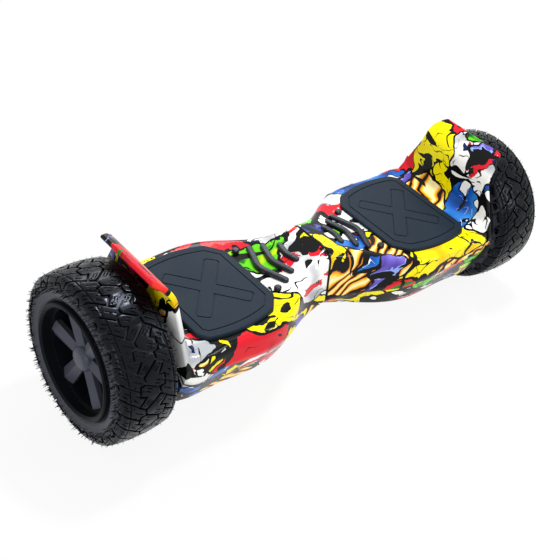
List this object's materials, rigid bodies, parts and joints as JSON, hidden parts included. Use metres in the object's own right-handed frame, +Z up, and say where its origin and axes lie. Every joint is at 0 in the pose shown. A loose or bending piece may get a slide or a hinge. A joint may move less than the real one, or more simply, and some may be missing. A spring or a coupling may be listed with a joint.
{
  "type": "self-balancing hoverboard",
  "caption": "Self-balancing board with a twisting waist, sprung rubber foot pads, flared fenders, block-tread hub-motor wheels with spoked covers, and a glossy multicolour casing.",
  "frame": {"origin": "on the floor under the middle of the board, at the seam between the halves", "axes": "+X along the axle line towards the half with the power button, +Y towards the side with the button and charging socket, +Z up"},
  "size_m": [0.733, 0.22, 0.2392],
  "materials": {
    "printed_casing": "glossy water-transfer print on moulded plastic",
    "lower_casing": "glossy water-transfer print on moulded plastic",
    "pad_rubber": "matt moulded rubber",
    "grip_rubber": "satin moulded rubber",
    "tyre_rubber": "matt vulcanised rubber",
    "cast_hub": "dark powder coat over cast aluminium",
    "cover_plastic": "dark semi-gloss moulded plastic",
    "cast_frame": "as cast",
    "ground_steel": "ground",
    "plated_steel": "zinc plated",
    "black_steel": "black oxide",
    "wound_core": "laminated steel with copper windings",
    "magnets": "nickel plated",
    "bush_plastic": "natural acetal",
    "battery_wrap": "shrink wrap over lithium cells",
    "circuit_board": "green solder mask",
    "black_plastic": "moulded",
    "button_plastic": "moulded"
  },
  "bodies": {
    "left_half": {"left_top_casing": "printed_casing", "left_bottom_casing": "lower_casing", "left_casing_screws": "black_steel", "left_grip_bars": "grip_rubber", "left_frame": "cast_frame", "left_axle_clamp": "cast_frame", "left_clamp_screws": "black_steel", "left_axle": "ground_steel", "left_stator": "wound_core", "left_switch_board": "circuit_board", "left_bay_plate": "plated_steel", "pivot_tube": "ground_steel", "thrust_washer": "ground_steel", "pivot_circlip": "black_steel", "battery_pack": "battery_wrap"},
    "right_half": {"right_top_casing": "printed_casing", "right_bottom_casing": "lower_casing", "right_casing_screws": "black_steel", "right_grip_bars": "grip_rubber", "right_frame": "cast_frame", "right_axle_clamp": "cast_frame", "right_clamp_screws": "black_steel", "right_axle": "ground_steel", "right_stator": "wound_core", "right_switch_board": "circuit_board", "right_bay_plate": "plated_steel", "pivot_bushes": "bush_plastic", "heat_sink": "cast_frame", "main_board": "circuit_board", "button_bezel": "black_plastic", "charge_socket": "black_plastic"},
    "left_wheel": {"left_tyre": "tyre_rubber", "left_hub_shell": "cast_hub", "left_magnet_ring": "magnets", "left_hub_bearings": "ground_steel", "left_motor_cover": "cast_hub", "left_spoke_cover": "cover_plastic"},
    "right_wheel": {"right_tyre": "tyre_rubber", "right_hub_shell": "cast_hub", "right_magnet_ring": "magnets", "right_hub_bearings": "ground_steel", "right_motor_cover": "cast_hub", "right_spoke_cover": "cover_plastic"},
    "left_pad": {"left_foot_pad": "pad_rubber", "left_switch_plungers": "black_plastic"},
    "right_pad": {"right_foot_pad": "pad_rubber", "right_switch_plungers": "black_plastic"},
    "power_button": {"power_button": "button_plastic"}
  },
  "joints": [
    {"name": "halves_twist", "type": "hinge", "parent": "left_half", "child": "right_half", "pos_m": [0, 0, 0.11], "axis": [1, 0, 0], "range_deg": [-12, 12]},
    {"name": "left_wheel_spin", "type": "hinge", "parent": "left_half", "child": "left_wheel", "pos_m": [0, 0, 0.11], "axis": [1, 0, 0], "continuous": true},
    {"name": "right_wheel_spin", "type": "hinge", "parent": "right_half", "child": "right_wheel", "pos_m": [0, 0, 0.11], "axis": [1, 0, 0], "continuous": true},
    {"name": "left_pad_press", "type": "slide", "parent": "left_half", "child": "left_pad", "axis": [0, 0, -1], "range_m": [0, 0.0015], "stiffness_N_per_m": 20000, "springref_m": -0.0005},
    {"name": "right_pad_press", "type": "slide", "parent": "right_half", "child": "right_pad", "axis": [0, 0, -1], "range_m": [0, 0.0015], "stiffness_N_per_m": 20000, "springref_m": -0.0005},
    {"name": "button_press", "type": "slide", "parent": "right_half", "child": "power_button", "axis": [0, -1, 0], "range_m": [0, 0.0012], "stiffness_N_per_m": 1500, "springref_m": -0.0004}
  ]
}
